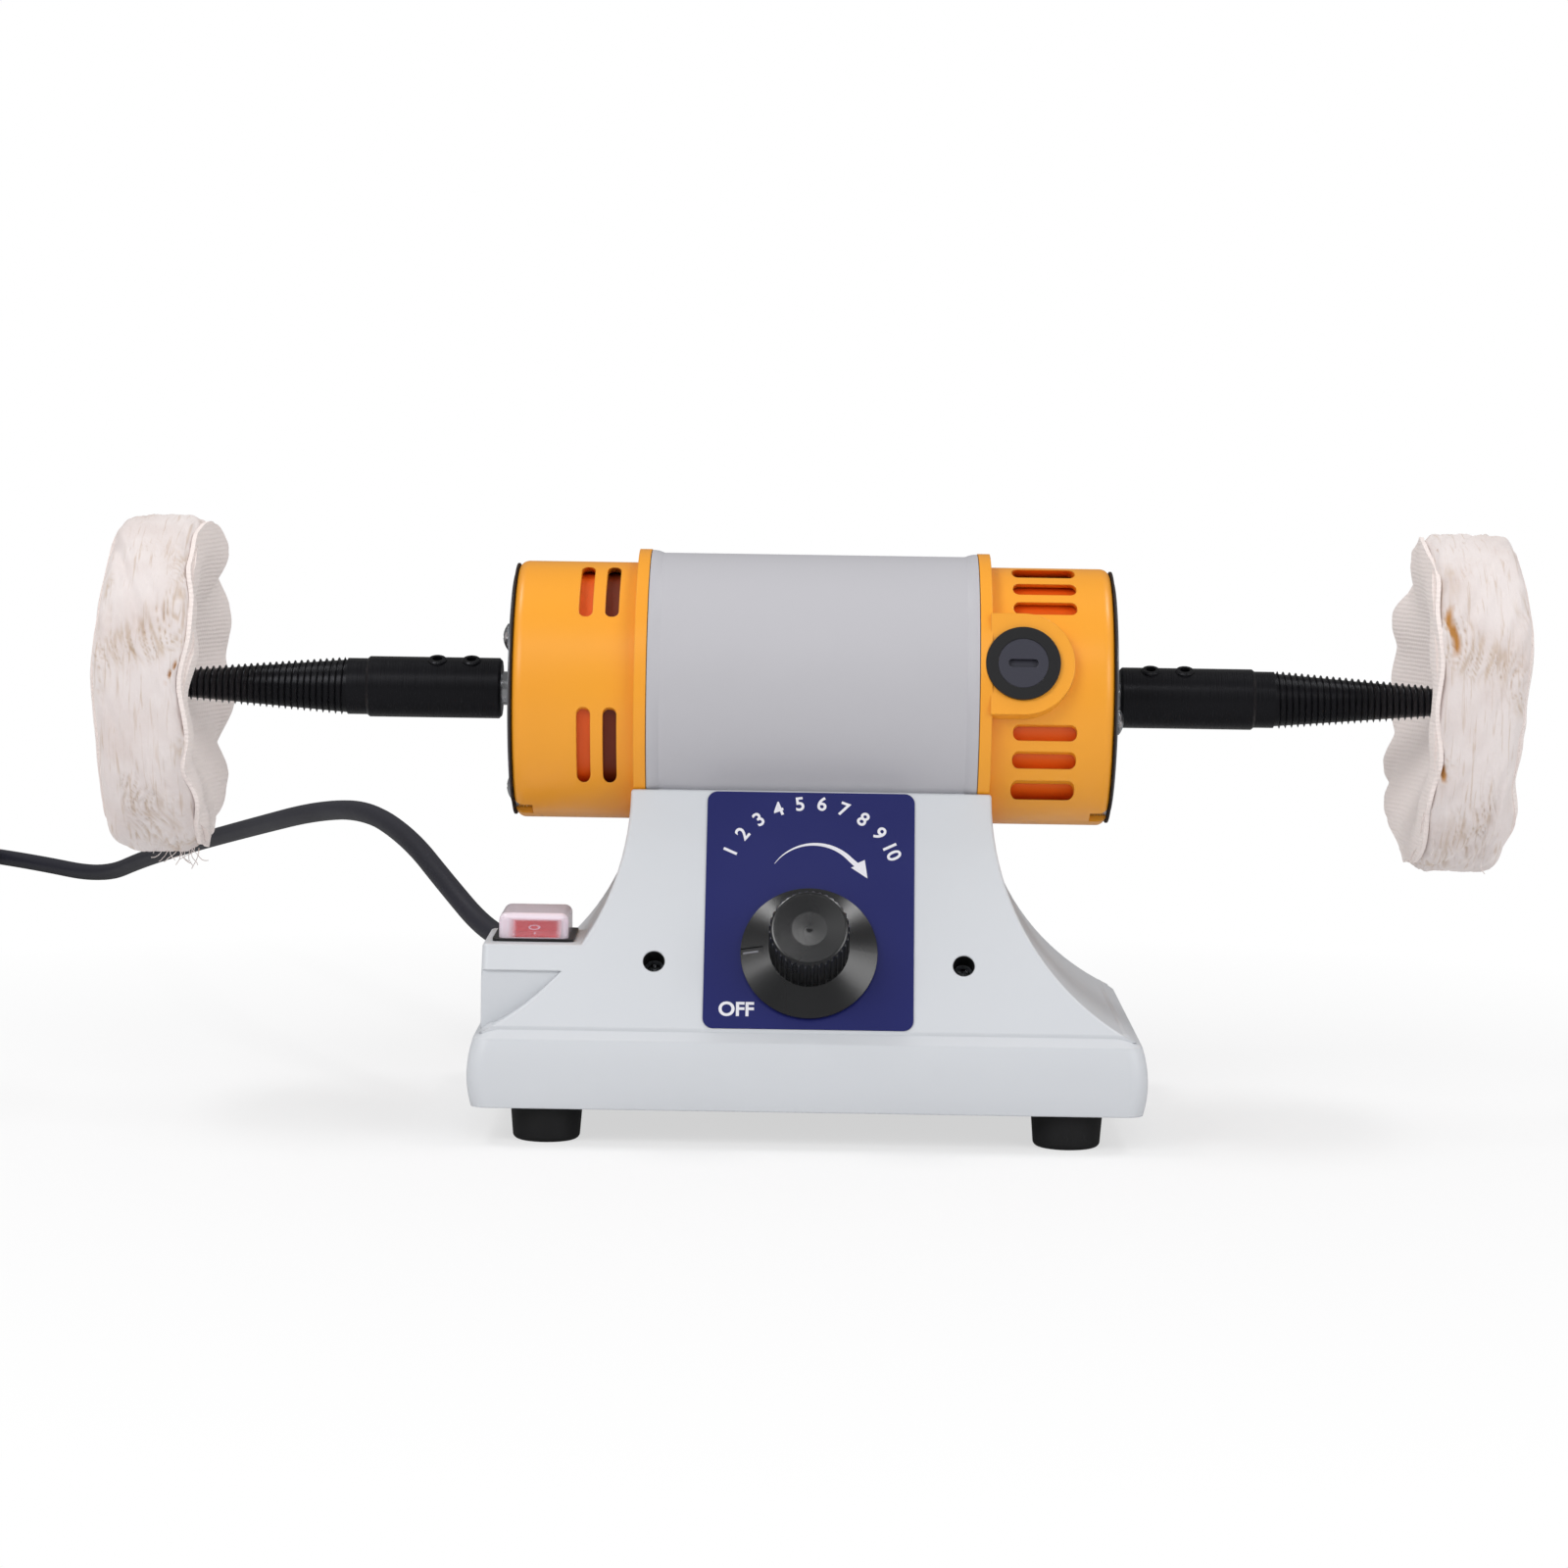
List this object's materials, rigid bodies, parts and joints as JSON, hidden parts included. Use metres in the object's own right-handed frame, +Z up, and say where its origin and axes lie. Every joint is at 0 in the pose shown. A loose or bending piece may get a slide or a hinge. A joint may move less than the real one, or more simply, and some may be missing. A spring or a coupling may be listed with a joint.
{
  "type": "dental polishing lathe",
  "caption": "Bench polishing lathe: grey base with speed knob and covered rocker switch, motor with tapered screw spindles and cotton buffs on both ends.",
  "frame": {"origin": "on the table, under the middle of the machine's own floor area", "axes": "+X along the motor axis towards the brush-gear end, +Y from the control panel to the back, +Z up"},
  "size_m": [0.6617, 0.7539, 0.175],
  "materials": {
    "grey_abs": "light grey moulded ABS, satin",
    "yellow_abs": "yellow moulded plastic, satin gloss",
    "sleeve_paint": "light grey satin paint on a rolled steel sleeve",
    "label_film": "dark blue printed film, glossy",
    "black_phenolic": "black moulded knob, satin",
    "blackened_steel": "black oxide steel, satin",
    "bright_steel": "turned and ground steel",
    "zinc_screws": "bright zinc plated steel",
    "black_rubber": "moulded black rubber",
    "cotton": "stitched cotton plies",
    "pvc_cord": "dark grey PVC sheath",
    "switch_black": "black nylon",
    "rocker_red": "red polycarbonate",
    "clear_cover": "clear soft splash cover",
    "brush_collar": "dark grey moulded collar and cap",
    "end_plate_metal": "plain sheet steel",
    "gasket_fibre": "dark brown sealing ring",
    "laminated_steel": "stacked electrical steel",
    "copper": "enamelled copper windings",
    "carbon": "pressed carbon",
    "brass_parts": "plain brass",
    "circuit_board": "glass-epoxy board",
    "board_metal": "aluminium heat sink and cans",
    "bottom_metal": "dark painted sheet steel"
  },
  "bodies": {
    "base": {"base_housing": "grey_abs", "bottom_plate": "bottom_metal", "rubber_feet": "black_rubber", "foot_screws": "zinc_screws", "panel_screws": "zinc_screws", "board_bracket": "bottom_metal", "board_spacers": "brass_parts", "control_board": "circuit_board", "board_parts": "board_metal", "dial_label": "label_film", "speed_control": "board_metal", "bushing_nut": "brass_parts", "switch_body": "switch_black", "splash_cover": "clear_cover", "switch_tabs": "brass_parts", "motor_sleeve": "sleeve_paint", "left_end_cap": "yellow_abs", "right_end_cap": "yellow_abs", "bearing_brackets": "end_plate_metal", "left_gasket": "gasket_fibre", "left_end_plate": "end_plate_metal", "right_gasket": "gasket_fibre", "right_end_plate": "end_plate_metal", "end_plate_screws": "zinc_screws", "brush_collars": "brush_collar", "brush_caps": "brush_collar", "brush_holders": "brass_parts", "carbon_brushes": "carbon", "brush_springs": "bright_steel", "bearing_outer_rings": "bright_steel", "stator_core": "laminated_steel", "field_coils": "copper", "motor_bolts": "zinc_screws", "cord_grip": "black_rubber", "power_cord": "pvc_cord", "cord_coil": "pvc_cord", "plug_body": "black_rubber", "plug_pins": "brass_parts"},
    "rotor": {"rotor_shaft": "bright_steel", "armature_core": "laminated_steel", "armature_windings": "copper", "commutator": "copper", "cooling_fan": "black_phenolic", "bearing_inner_rings": "bright_steel", "bearing_balls": "bright_steel", "left_spindle": "blackened_steel", "right_spindle": "blackened_steel", "spindle_set_screws": "blackened_steel", "left_buff_wheel": "cotton", "right_buff_wheel": "cotton"},
    "knob": {"speed_knob": "black_phenolic", "control_shaft": "bright_steel"},
    "rocker": {"switch_rocker": "rocker_red"}
  },
  "joints": [
    {"name": "rotor_spin", "type": "hinge", "parent": "base", "child": "rotor", "pos_m": [0, 0.0092, 0.125], "axis": [1, 0, 0], "continuous": true},
    {"name": "speed_knob_turn", "type": "hinge", "parent": "base", "child": "knob", "pos_m": [0, -0.04687, 0.0538], "axis": [0, 0.8965, -0.4431], "range_deg": [-40, 230]},
    {"name": "switch_rock", "type": "hinge", "parent": "base", "child": "rocker", "pos_m": [-0.0794, -0.0261, 0.0539], "axis": [-1, 0, 0], "range_deg": [0, 18]}
  ]
}
